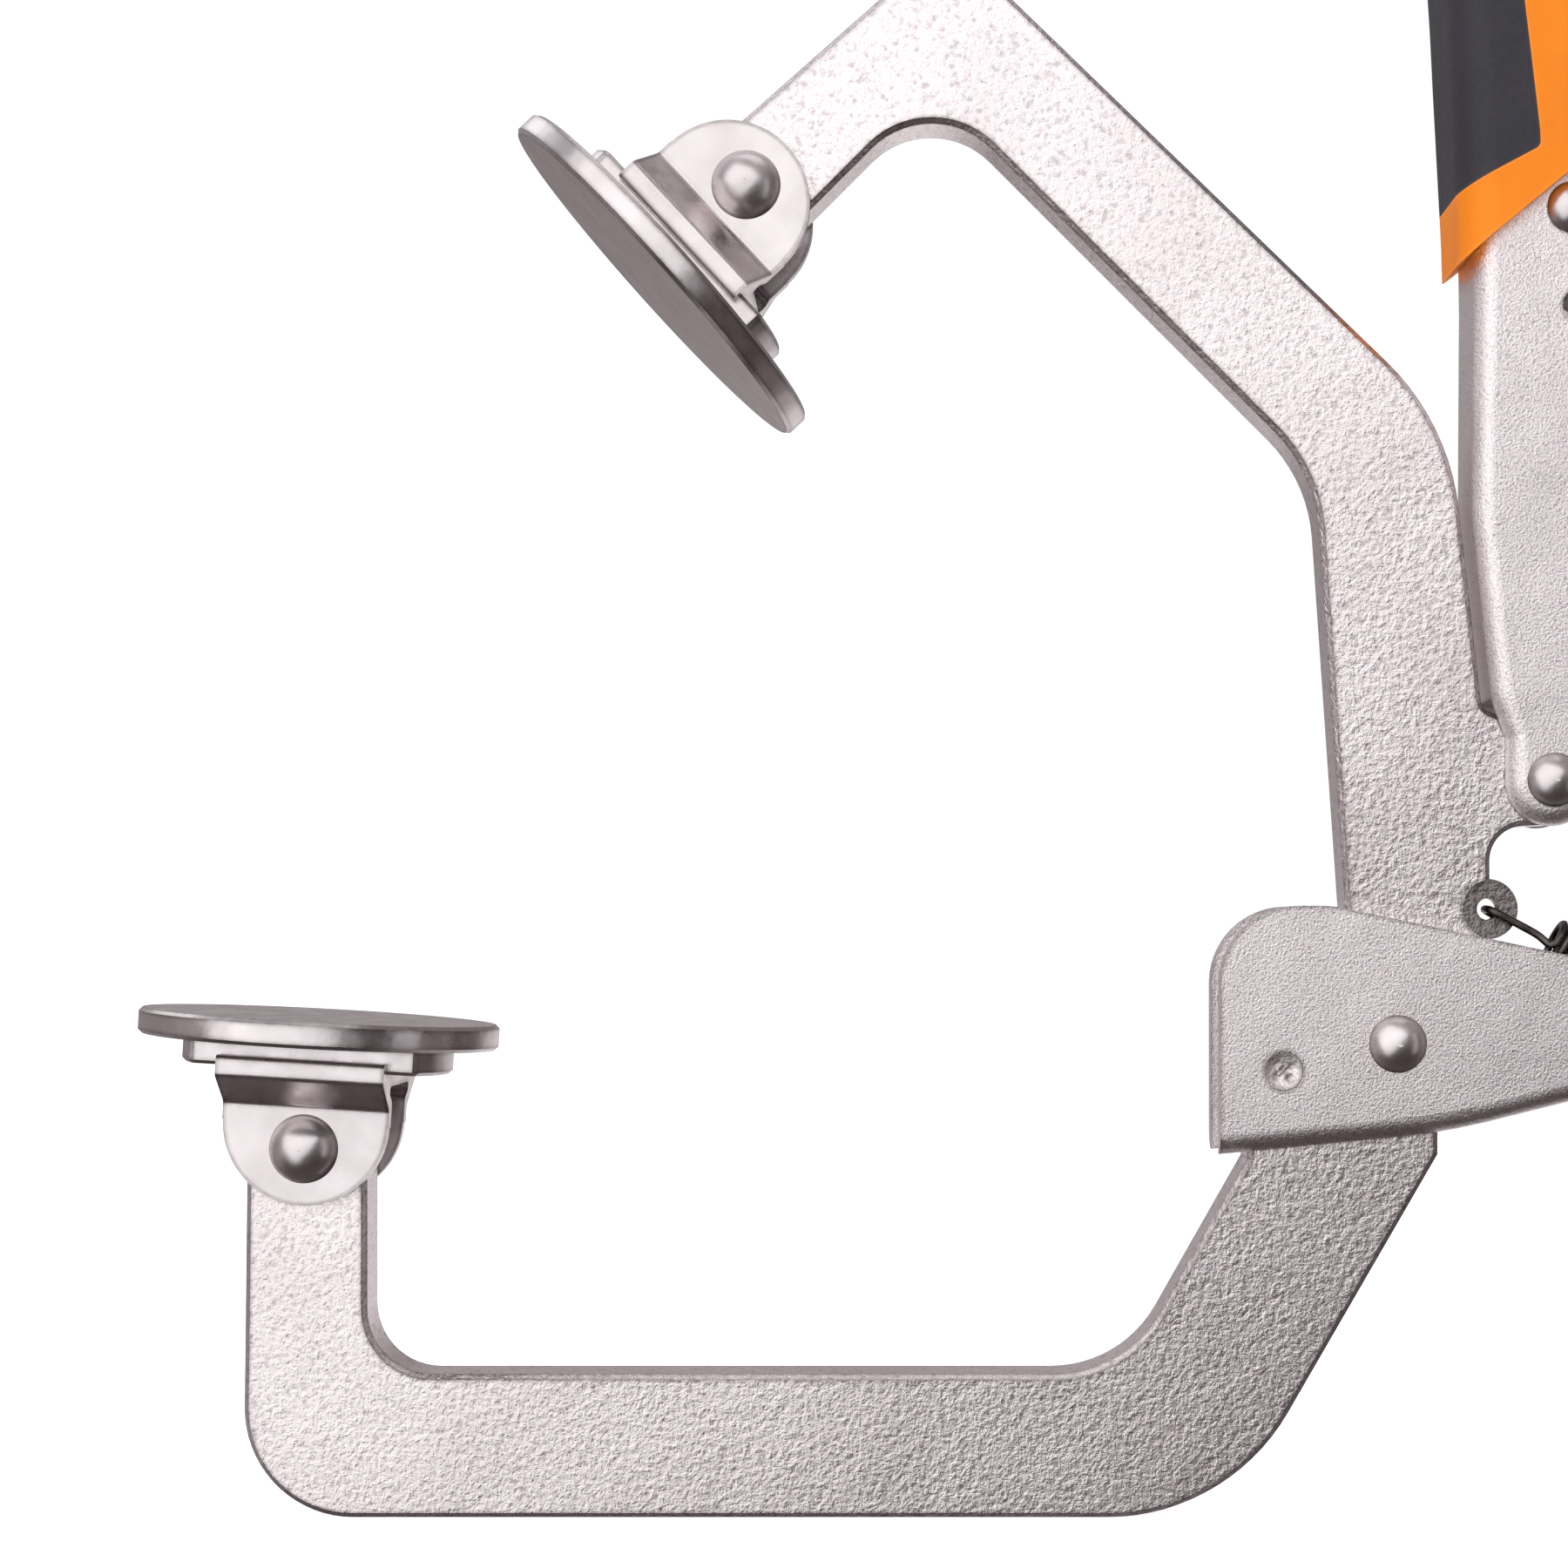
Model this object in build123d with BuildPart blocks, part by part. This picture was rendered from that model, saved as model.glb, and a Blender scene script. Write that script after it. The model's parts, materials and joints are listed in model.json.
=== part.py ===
from build123d import *
import os
from math import asin, cos, hypot, radians, sin, tan

# Long-reach locking C clamp with swivel pads, drawn with its jaws fully open.
# Millimetres, +X from the pads to the handles, +Z up. The origin is the middle of the fixed pad's
# clamping face. Most outlines lie in the jaw plane and are written as (u, v) from the main pivot,
# u along +X and v along +Z; a corner is (u, v, radius).

# --- driving dimensions ---------------------------------------------------------------------
closing_angle = 43.5            # turn of the moving jaw from open to clamped
pad_height = 15.1               # clamping face to pad pivot
fixed_pad_angle = 86.5          # way the fixed pad faces, from +X toward +Z
moving_pad_angle = fixed_pad_angle + 180 - closing_angle

fixed_pin = (-124.8, -12.0)     # pad pivots, about the main pivot
moving_pin = (-74.3, 98.05)
lever_pivot = (17.9, 30.1)
link_pivot = (33.0, 73.0)
link_end = (50.0, 1.0)
release_pivot = (19.8, 95.2)
stake_spot = (-13.0, -3.1)
spring_hole = (11.3, 15.4)
spring_anchor = (40.5, 0.2)

fixed_jaw_half = 3.7            # half thickness of the fixed jaw plate
moving_jaw_half = 3.5
link_half = 3.2
release_half = 2.8
sheet = 2.5                     # wall of the folded handle
lever_sheet = 2.2
head_half = 6.2                 # handle half width at the jaws and at the screw
rear_half = 7.9
ear_half = 5.9                  # lever half width at its pivot and in the hand
hand_half = 7.0
fold_radius = 2.3               # outside bend of both folded sheets
edge_break = 0.4
plate_break = 0.6               # bevel round the sides of the jaw plates

running_gap = 0.05              # radial clearance of every pin
face_gap = 0.1                  # between a rivet head and a part that turns under it
fit_gap = 0.05                  # between a grip and the metal inside it
hub_clearance = 0.4             # between the fixed jaw and the moving jaw's hub

main_rivet = (2.75, 3.3, 1.9)   # shank radius, head radius, head height
lever_rivet = (2.6, 3.1, 1.8)
link_rivet_size = (2.6, 3.6, 1.2)
release_rivet_size = (2.2, 2.95, 1.7)
pad_rivet = (2.8, 3.95, 2.6)

hub_radius = 9.0
fixed_tip_radius = 6.9
moving_tip_radius = 6.3
jaw_ear_radius = 5.0
lever_ear_radius = 5.2
tab_radius = 3.2
tab_half = 1.0                  # half thickness of the thinned spring tab
spring_hole_radius = 1.25
anchor_radius = 0.8

screw_slope = -5.5              # degrees below +X
screw_radius = 4.95
screw_bore_radius = 5.02
barrel_radius = 7.8
spigot_radius = 3.0

grip_wall = 1.9

far = 300                       # reach of a cut that passes right through

pivot_x = -(fixed_pin[0] + pad_height * cos(radians(fixed_pad_angle)))
pivot_z = -(fixed_pin[1] + pad_height * sin(radians(fixed_pad_angle)))
side = Plane(origin=(pivot_x, 0, pivot_z), x_dir=(1, 0, 0), z_dir=(0, -1, 0))

os.makedirs("parts", exist_ok=True)


def points(corners):
    """Places of a list of corners, without their radii."""
    return [(u, v) for u, v, radius in corners]


def radii(corners):
    """Corner radii of a list of corners."""
    return [radius for u, v, radius in corners]


def spot(place, depth=0):
    """World point of a (u, v) place, at a depth along +Y."""
    return (pivot_x + place[0], depth, pivot_z + place[1])


def aim(angle):
    """Direction in the jaw plane at an angle from +X toward +Z."""
    return (cos(radians(angle)), 0, sin(radians(angle)))


def plate_rims(part):
    """Edges round the two flat sides of a plate that lies in the jaw plane."""
    sides = part.faces().filter_by(Axis.Y)
    return sides.sort_by(Axis.Y)[0].edges() + sides.sort_by(Axis.Y)[-1].edges()


def finish(builder, name):
    """Name a finished piece and write it out."""
    builder.part.label = name
    export_step(builder.part, f"parts/{name}.step")


def domed_rivet(place, size, half_grip):
    """Rivet along Y through a place: a shank with a dome at each end."""
    shank, head, height = size
    crown = (head**2 + height**2) / (2 * height)
    half_sweep = asin(head / crown) / 2
    rise = half_grip + height - crown + crown * cos(half_sweep)
    with BuildPart() as rivet:
        with BuildSketch(Plane(origin=spot(place), x_dir=(1, 0, 0), z_dir=(0, 0, 1))):
            with BuildLine():
                Polyline((shank, 0), (shank, half_grip), (head, half_grip))
                ThreePointArc((head, half_grip), (crown * sin(half_sweep), rise), (0, half_grip + height))
                Polyline((0, half_grip + height), (0, 0), (shank, 0))
            make_face()
        revolve(axis=Axis(spot(place), (0, 1, 0)))
        mirror(about=Plane.XZ)
    return rivet


# --- fixed jaw: the lower arm, a plate bent round the throat ---------------------------------
fixed_jaw_corners = [
    (-131.75, -12.0, 0),
    (-132.25, -54.55, 12.5),
    (-19.05, -54.55, 24),
    (5.1, -12.8, 0),
    (5.1, -4.0, 0),
    (-9.0, 1.0, 0),
    (-17.2, 4.0, 1),
    (-16.8, -13.3, 0),
    (-30.9, -38.1, 14),
    (-118.0, -38.1, 7.5),
    (-118.0, -12.0, 0),
]
stake_radius = 2.2
stake_half = 5.7

with BuildPart() as fixed_jaw:
    with BuildSketch(side):
        with BuildLine():
            FilletPolyline(*points(fixed_jaw_corners), radius=radii(fixed_jaw_corners), close=True)
        make_face()
        with Locations(fixed_pin):
            Circle(fixed_tip_radius)
        Circle(hub_radius + hub_clearance, mode=Mode.SUBTRACT)
        with Locations(fixed_pin):
            Circle(pad_rivet[0] + running_gap, mode=Mode.SUBTRACT)
        with Locations(stake_spot):
            Circle(stake_radius + fit_gap, mode=Mode.SUBTRACT)
    extrude(amount=fixed_jaw_half, both=True)
    chamfer(plate_rims(fixed_jaw), plate_break)
finish(fixed_jaw, "fixed_jaw")

with BuildPart() as stake_pin:
    with BuildSketch(side):
        with Locations(stake_spot):
            Circle(stake_radius)
    extrude(amount=stake_half, both=True)
    chamfer(plate_rims(stake_pin), edge_break)
finish(stake_pin, "fixed_jaw_stake_pin")

# --- moving jaw: the upper arm, with its hub, lever ear and spring tab -----------------------
moving_jaw_corners = [
    (-4.4, 0.0, 0),
    (-8.95, 65.65, 18),
    (-53.1, 109.8, 9.7),
    (-69.6, 93.3, 0),
    (-78.5, 102.9, 0),
    (-51.1, 127.1, 10.5),
    (6.45, 71.45, 28),
    (10.2, 38.5, 1.5),
    (17.9, 35.1, 0),
    (17.9, 25.1, 0),
    (11.1, 24.8, 4),
    (11.1, 15.5, 0),
    (8.9, 3.0, 0),
]

with BuildPart() as moving_jaw:
    with BuildSketch(side):
        with BuildLine():
            FilletPolyline(*points(moving_jaw_corners), radius=radii(moving_jaw_corners), close=True)
        make_face()
        Circle(hub_radius)
        with Locations(moving_pin):
            Circle(moving_tip_radius)
        with Locations(lever_pivot):
            Circle(jaw_ear_radius)
        Circle(main_rivet[0] + running_gap, mode=Mode.SUBTRACT)
        with Locations(moving_pin):
            Circle(pad_rivet[0] + running_gap, mode=Mode.SUBTRACT)
        with Locations(lever_pivot):
            Circle(lever_rivet[0] + fit_gap, mode=Mode.SUBTRACT)
    extrude(amount=moving_jaw_half, both=True)
    chamfer(plate_rims(moving_jaw), plate_break)
    with BuildSketch(side):
        with Locations(spring_hole):
            Circle(tab_radius + 2 * face_gap)
    extrude(amount=moving_jaw_half, both=True, mode=Mode.SUBTRACT)
    with BuildSketch(side):
        with Locations(spring_hole):
            Circle(tab_radius + 3 * face_gap)
            Circle(spring_hole_radius, mode=Mode.SUBTRACT)
    extrude(amount=tab_half, both=True)
finish(moving_jaw, "moving_jaw")

# --- fixed handle: a folded channel, tapped at the rear for the screw ------------------------
handle_underside = [
    (-20.2, -12.75, 0),
    (6.0, -10.2, 60),
    (30.0, -4.2, 22),
    (60.0, -9.5, 60),
    (110.0, -19.0, 150),
    (182.0, -24.6, 0),
]
handle_top = [
    (182.0, -6.2, 0),
    (110.0, 0.9, 150),
    (60.0, 5.2, 100),
    (30.0, 7.9, 30),
    (-7.5, 15.75, 12),
    (-20.2, 15.75, 9),
]
widening = [(-30, 0), (45, 0), (100, 1), (230, 1)]   # u, and share of the way to the rear width
widening_radius = 400
cavity_end = 168.0
barrel_start = 165.0
barrel_end = 192.0
screw_axis_spot = (106.0, -8.0)


def handle_plan(half_head, half_rear):
    """Closed outline of the handle seen from above, as corners in world X and Y."""
    near = []
    for place, share in widening:
        half = half_head + share * (half_rear - half_head)
        near.append((pivot_x + place, -half, widening_radius * (0 < place < 200)))
    return near + [(x, -y, radius) for x, y, radius in reversed(near)]


def handle_blank(grow):
    """Outer form of the handle as one block, larger all round by grow."""
    corners = [(u, v - grow, radius) for u, v, radius in handle_underside]
    corners += [(u, v + grow, radius) for u, v, radius in handle_top]
    plan = handle_plan(head_half + grow, rear_half + grow)
    with BuildPart() as blank:
        with BuildSketch(side):
            with BuildLine():
                FilletPolyline(*points(corners), radius=radii(corners), close=True)
            make_face()
        extrude(amount=2 * rear_half, both=True)
        with BuildSketch(Plane.XY):
            with BuildLine():
                FilletPolyline(*points(plan), radius=radii(plan), close=True)
            make_face()
        extrude(amount=far, both=True, mode=Mode.INTERSECT)
        underside = blank.faces().filter_by(lambda face: face.normal_at().Z < -0.5)
        flanks = blank.faces().filter_by(lambda face: abs(face.normal_at().Y) > 0.9)
        fillet(underside.edges() & flanks.edges(), fold_radius + grow)
    return blank.part


def handle_cavity():
    """Room inside the folded channel, open upward and toward the jaws."""
    floor = [(u, v + sheet, radius) for u, v, radius in handle_underside[1:-1]]
    corners = [(-40, -12.75 + sheet, 0)] + floor + [(cavity_end, -20.5, 0), (cavity_end, 90, 0), (-40, 90, 0)]
    plan = handle_plan(head_half - sheet, rear_half - sheet)
    with BuildPart() as cavity:
        with BuildSketch(side):
            with BuildLine():
                FilletPolyline(*points(corners), radius=radii(corners), close=True)
            make_face()
        extrude(amount=2 * rear_half, both=True)
        with BuildSketch(Plane.XY):
            with BuildLine():
                FilletPolyline(*points(plan), radius=radii(plan), close=True)
            make_face()
        extrude(amount=far, both=True, mode=Mode.INTERSECT)
    return cavity.part


def screw_plane(place):
    """Plane square to the screw, where the screw's axis passes u = place."""
    drop = (place - screw_axis_spot[0]) * tan(radians(screw_slope))
    return Plane(origin=spot((place, screw_axis_spot[1] + drop)), x_dir=(0, 1, 0), z_dir=aim(screw_slope))


def along_screw(start, end):
    """Length along the screw between two values of u."""
    return (end - start) / cos(radians(screw_slope))


handle_block = handle_blank(0)
handle_room = handle_cavity()
with BuildPart() as fixed_handle:
    add(handle_block)
    add(handle_room, mode=Mode.SUBTRACT)
    with BuildSketch(screw_plane(barrel_start)):
        Circle(barrel_radius)
    extrude(amount=along_screw(barrel_start, barrel_end))
    with BuildSketch(screw_plane(cavity_end - 2 * barrel_radius)):
        Circle(screw_bore_radius)
    extrude(amount=along_screw(cavity_end - 2 * barrel_radius, barrel_end + 1), mode=Mode.SUBTRACT)
    with BuildSketch(side):
        with Locations((-14.7, -12)):
            Rectangle(40.0, 14.0)
    extrude(amount=head_half - sheet, both=True, mode=Mode.SUBTRACT)
    with BuildSketch(side):
        Circle(main_rivet[0] + fit_gap)
        with Locations(stake_spot):
            Circle(stake_radius + fit_gap)
        with Locations(spring_anchor):
            Circle(anchor_radius + fit_gap)
    extrude(amount=far, both=True, mode=Mode.SUBTRACT)
finish(fixed_handle, "fixed_handle")

main_pivot_rivet = domed_rivet((0, 0), main_rivet, head_half)
finish(main_pivot_rivet, "main_pivot_rivet")

# --- lever: the second folded channel, hinged on the moving jaw ------------------------------
lever_back = [
    (12.7, 30.1, 0),
    (12.7, 35.0, 0),
    (11.0, 39.6, 5),
    (8.8, 60.3, 40),
    (9.1, 90.0, 200),
    (7.6, 120.0, 150),
    (5.4, 150.0, 150),
    (5.4, 178.0, 60),
    (9.0, 203.0, 6),
]
lever_front = [
    (20.5, 203.0, 6),
    (23.5, 178.0, 60),
    (24.5, 145.0, 100),
    (27.0, 115.0, 60),
    (33.5, 92.0, 20),
    (40.0, 78.0, 6),
    (38.5, 64.0, 8),
    (29.0, 52.0, 15),
    (23.1, 36.0, 0),
    (23.1, 30.1, 0),
]
lever_widening = [(0, 0), (60, 0), (110, 1), (230, 1)]
web_start = 39.4
plain_hole_spot = (20.7, 84.1)
plain_hole_radius = 2.0


def lever_plan(half_ear, half_hand):
    """Closed outline of the lever seen along +X, as corners in world Y and Z."""
    near = []
    for place, share in lever_widening:
        half = half_ear + share * (half_hand - half_ear)
        near.append((-half, pivot_z + place, widening_radius * (0 < place < 200)))
    return near + [(-y, z, radius) for y, z, radius in reversed(near)]


def lever_blank(grow):
    """Outer form of the lever as one block, larger all round by grow."""
    corners = [(u - grow, v + grow * (v > 200), radius) for u, v, radius in lever_back]
    corners += [(u + grow, v + grow * (v > 200), radius) for u, v, radius in lever_front]
    plan = lever_plan(ear_half + grow, hand_half + grow)
    with BuildPart() as blank:
        with BuildSketch(side):
            with BuildLine():
                FilletPolyline(*points(corners), radius=radii(corners), close=True)
            make_face()
            with Locations(lever_pivot):
                Circle(lever_ear_radius + grow)
        extrude(amount=2 * hand_half, both=True)
        with BuildSketch(Plane.YZ):
            with BuildLine():
                FilletPolyline(*points(plan), radius=radii(plan), close=True)
            make_face()
        extrude(amount=far, both=True, mode=Mode.INTERSECT)
        back = blank.faces().filter_by(lambda face: face.normal_at().X < -0.6)
        flanks = blank.faces().filter_by(lambda face: abs(face.normal_at().Y) > 0.9)
        fillet(back.edges() & flanks.edges(), fold_radius + grow)
    return blank.part


def lever_cavity():
    """Room inside the lever, open toward the fixed handle and at the pivot end."""
    corners = [(u + lever_sheet, v - lever_sheet * (v > 200), radius) for u, v, radius in lever_back[3:]]
    corners[-1] = (corners[-1][0], corners[-1][1], 4)
    corners = [(-10, 20, 0), (-10, web_start, 0), (11.0 + lever_sheet, web_start, 0)] + corners
    corners += [(90, 203.0 - lever_sheet, 0), (90, 20, 0)]
    plan = lever_plan(ear_half - lever_sheet, hand_half - lever_sheet)
    with BuildPart() as cavity:
        with BuildSketch(side):
            with BuildLine():
                FilletPolyline(*points(corners), radius=radii(corners), close=True)
            make_face()
        extrude(amount=2 * hand_half, both=True)
        with BuildSketch(Plane.YZ):
            with BuildLine():
                FilletPolyline(*points(plan), radius=radii(plan), close=True)
            make_face()
        extrude(amount=far, both=True, mode=Mode.INTERSECT)
    return cavity.part


lever_room = lever_cavity()

with BuildPart() as lever:
    add(lever_blank(0))
    add(lever_room, mode=Mode.SUBTRACT)
    with BuildSketch(side):
        with Locations(lever_pivot):
            Circle(lever_rivet[0] + running_gap)
        with Locations(link_pivot):
            Circle(link_rivet_size[0] + fit_gap)
        with Locations(release_pivot):
            Circle(release_rivet_size[0] + fit_gap)
        with Locations(plain_hole_spot):
            Circle(plain_hole_radius)
    extrude(amount=far, both=True, mode=Mode.SUBTRACT)
finish(lever, "lever")

lever_pivot_rivet = domed_rivet(lever_pivot, lever_rivet, ear_half + face_gap)
finish(lever_pivot_rivet, "lever_pivot_rivet")

link_rivet = domed_rivet(link_pivot, link_rivet_size, ear_half + 0.4)
finish(link_rivet, "link_rivet")

release_rivet = domed_rivet(release_pivot, release_rivet_size, ear_half + 0.9)
finish(release_rivet, "release_rivet")

# --- grips: a moulded shell on each handle, with a softer strip let in along its back --------
handle_grip_zone = [
    (72.0, -30.0, 0),
    (98.0, 10.0, 0),
    (180.0, 10.0, 0),
    (180.0, -40.0, 0),
    (72.0, -40.0, 0),
]
handle_inlay_zone = [
    (84.0, -40.0, 0),
    (87.5, -19.5, 0),
    (97.0, -9.5, 5),
    (130.0, -14.5, 60),
    (168.0, -17.5, 8),
    (176.0, -40.0, 0),
]
lever_grip_zone = [
    (-10.0, 75.0, 0),
    (44.0, 119.5, 0),
    (44.0, 215.0, 0),
    (-10.0, 215.0, 0),
]
lever_inlay_zone = [
    (-10.0, 88.0, 0),
    (15.7, 101.6, 1),
    (15.6, 103.5, 10),
    (12.6, 128.0, 80),
    (12.2, 170.0, 40),
    (14.0, 190.0, 8),
    (-10.0, 200.0, 0),
]


def zone(corners):
    """Block right through the jaw plane over a closed outline."""
    with BuildPart() as block:
        with BuildSketch(side):
            with BuildLine():
                FilletPolyline(*points(corners), radius=radii(corners), close=True)
            make_face()
        extrude(amount=far, both=True)
    return block.part


def grip_pair(blank, room, grip_zone, inlay_zone, name):
    """A grip shell round a folded sheet, and the strip let into its back."""
    with BuildPart() as shell:
        add(blank(grip_wall))
        add(blank(fit_gap), mode=Mode.SUBTRACT)
        add(room, mode=Mode.SUBTRACT)
        add(zone(grip_zone), mode=Mode.INTERSECT)
    with BuildPart() as grip:
        add(shell.part)
        add(zone(inlay_zone), mode=Mode.SUBTRACT)
    with BuildPart() as inlay:
        add(shell.part)
        add(zone(inlay_zone), mode=Mode.INTERSECT)
    finish(grip, name)
    finish(inlay, name + "_inlay")


grip_pair(handle_blank, handle_room, handle_grip_zone, handle_inlay_zone, "handle_grip")
grip_pair(lever_blank, lever_room, lever_grip_zone, lever_inlay_zone, "lever_grip")

# --- toggle link: joins the lever to the screw's end of the handle ---------------------------
link_length = hypot(link_end[0] - link_pivot[0], link_end[1] - link_pivot[1])
link_direction = (link_end[0] - link_pivot[0], 0, link_end[1] - link_pivot[1])
link_plane = Plane(origin=spot(link_pivot), x_dir=link_direction, z_dir=(0, -1, 0))
link_eye_radius = 5.8
link_toe_radius = 5.0

with BuildPart() as toggle_link:
    with BuildSketch(link_plane):
        with BuildLine():
            Polyline(
                (0, -link_eye_radius + 0.3),
                (link_length, -link_toe_radius + 0.3),
                (link_length, link_toe_radius - 0.3),
                (0, link_eye_radius - 0.3),
                close=True,
            )
        make_face()
        Circle(link_eye_radius)
        with Locations((link_length, 0)):
            Circle(link_toe_radius)
        Circle(link_rivet_size[0] + running_gap, mode=Mode.SUBTRACT)
    extrude(amount=link_half, both=True)
    chamfer(plate_rims(toggle_link), edge_break)
finish(toggle_link, "toggle_link")

# --- release lever: rocks inside the lever and pushes the link off centre --------------------
release_corners = [
    (27.2, 85.2, 1.8),
    (30.0, 88.6, 1.8),
    (25.6, 97.0, 5),
    (27.5, 108.0, 8),
    (32.2, 122.0, 25),
    (33.2, 142.0, 30),
    (31.8, 158.0, 8),
    (34.5, 166.0, 1.2),
    (30.6, 167.5, 1.2),
    (27.8, 158.0, 8),
    (28.8, 142.0, 30),
    (27.8, 123.0, 25),
    (22.5, 109.0, 8),
    (15.6, 99.5, 3),
    (16.0, 91.5, 3),
]

with BuildPart() as release_lever:
    with BuildSketch(side):
        with BuildLine():
            FilletPolyline(*points(release_corners), radius=radii(release_corners), close=True)
        make_face()
        with Locations(release_pivot):
            Circle(release_rivet_size[0] + running_gap, mode=Mode.SUBTRACT)
    extrude(amount=release_half, both=True)
    chamfer(plate_rims(release_lever), edge_break)
finish(release_lever, "release_lever")

# --- adjusting screw: shank and knurled head ------------------------------------------------
screw_tip = 113.2
screw_shoulder = 194.0
spigot_end = 202.0
knob_end = 207.0
knob_radius = 8.0
tip_chamfer = 1.5

with BuildPart() as screw_shank:
    with BuildSketch(screw_plane(screw_tip)):
        Circle(screw_radius)
    extrude(amount=along_screw(screw_tip, screw_shoulder))
    chamfer(screw_shank.faces().sort_by(Axis.X)[0].edges(), tip_chamfer)
    with BuildSketch(screw_plane(screw_shoulder)):
        Circle(spigot_radius)
    extrude(amount=along_screw(screw_shoulder, spigot_end))
finish(screw_shank, "adjusting_screw_shank")

with BuildPart() as screw_knob:
    with BuildSketch(screw_plane(screw_shoulder + face_gap)):
        Circle(knob_radius)
    extrude(amount=along_screw(screw_shoulder + face_gap, knob_end))
    chamfer(screw_knob.faces().filter_by(GeomType.PLANE).edges(), 2 * edge_break)
    with BuildSketch(screw_plane(screw_shoulder)):
        Circle(spigot_radius + running_gap)
    extrude(amount=along_screw(screw_shoulder, spigot_end + face_gap), mode=Mode.SUBTRACT)
finish(screw_knob, "adjusting_screw_knob")

# --- return spring: coil in the handle, hook in the moving jaw's tab -------------------------
spring_direction = (spring_hole[0] - spring_anchor[0], 0, spring_hole[1] - spring_anchor[1])
spring_length = hypot(spring_direction[0], spring_direction[2])
spring_square = (-spring_direction[2], 0, spring_direction[0])
spring_side = Plane(origin=spot(spring_anchor), x_dir=spring_direction, z_dir=spring_square)
coil_start = 4.5
coil_end = 24.8
coil_radius = 3.1
wire_radius = 0.45
hook_reach = 1.9
loop_radius = 2.5               # rear loop, to the middle of the wire


def along_spring(distance):
    """Plane square to the spring, a distance from its anchor."""
    origin = spring_side.from_local_coords((distance, 0, 0))
    return Plane(origin=origin, x_dir=(0, 1, 0), z_dir=spring_direction)


def spring_wire(path):
    """Round wire along corners (distance from the anchor, offset in Y, bend radius)."""
    with BuildPart() as wire:
        with BuildLine(spring_side) as route:
            FilletPolyline(*points(path), radius=radii(path)[1:-1])
        with BuildSketch(Plane(origin=route.line @ 0, z_dir=route.line % 0)):
            Circle(wire_radius)
        sweep(path=route.line)
    return wire


front_hook = spring_wire(
    [
        (coil_end + 0.2, -hook_reach, 0),
        (spring_length, -hook_reach, 1.2),
        (spring_length, hook_reach, 1.2),
        (spring_length - 3.5, hook_reach, 0),
    ]
)
finish(front_hook, "return_spring_hook")

with BuildPart() as spring_coil:
    with BuildSketch(along_spring(coil_start)):
        Circle(coil_radius)
    extrude(amount=coil_end - coil_start)
    with BuildSketch(along_spring(coil_start + 2 * wire_radius)):
        Circle(coil_radius - 2 * wire_radius)
    extrude(amount=coil_end - coil_start, mode=Mode.SUBTRACT)
    with BuildSketch(along_spring(loop_radius)):
        Circle(wire_radius)
    extrude(amount=coil_start - loop_radius + wire_radius)
    with BuildSketch(Plane(origin=spot(spring_anchor), x_dir=(1, 0, 0), z_dir=(0, 0, 1))):
        with Locations((loop_radius, 0)):
            Circle(wire_radius)
    revolve(axis=Axis(spot(spring_anchor), (0, 1, 0)))
finish(spring_coil, "return_spring_coil")

with BuildPart() as anchor_pin:
    with BuildSketch(side):
        with Locations(spring_anchor):
            Circle(anchor_radius)
    extrude(amount=head_half, both=True)
finish(anchor_pin, "spring_anchor_pin")

# --- swivel pads: disc, backing plate, folded bracket, stud and pivot rivet ------------------
disc_thickness = 2.9
plate_thickness = 3.0
plate_radius = 15.4
plate_half = 8.6                # half width between the plate's flats
fixed_disc_radius = 20.5
moving_disc_radius = 23.0
bracket_sheet = 1.5
bracket_length = 9.5            # half length along the arm's plane
bracket_base_half = 10.2        # half width across the arm
bracket_rim = 4.7               # height where the bracket's walls start, beside the plate's flats
bracket_shoulder = 7.0          # height where the walls lean inward
bracket_hollow_half = 7.3       # half width of the room above the bracket's floor
bracket_ear_start = 10.2
ear_inner_half = 4.0
ear_centre = 12.2               # height of the round ear's centre
ear_radius = 9.4
stud_radius = 3.0
stud_head_radius = 5.0
stud_head_height = 0.4
stud_depth = 2.0                # how far the stud enters the disc


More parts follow.
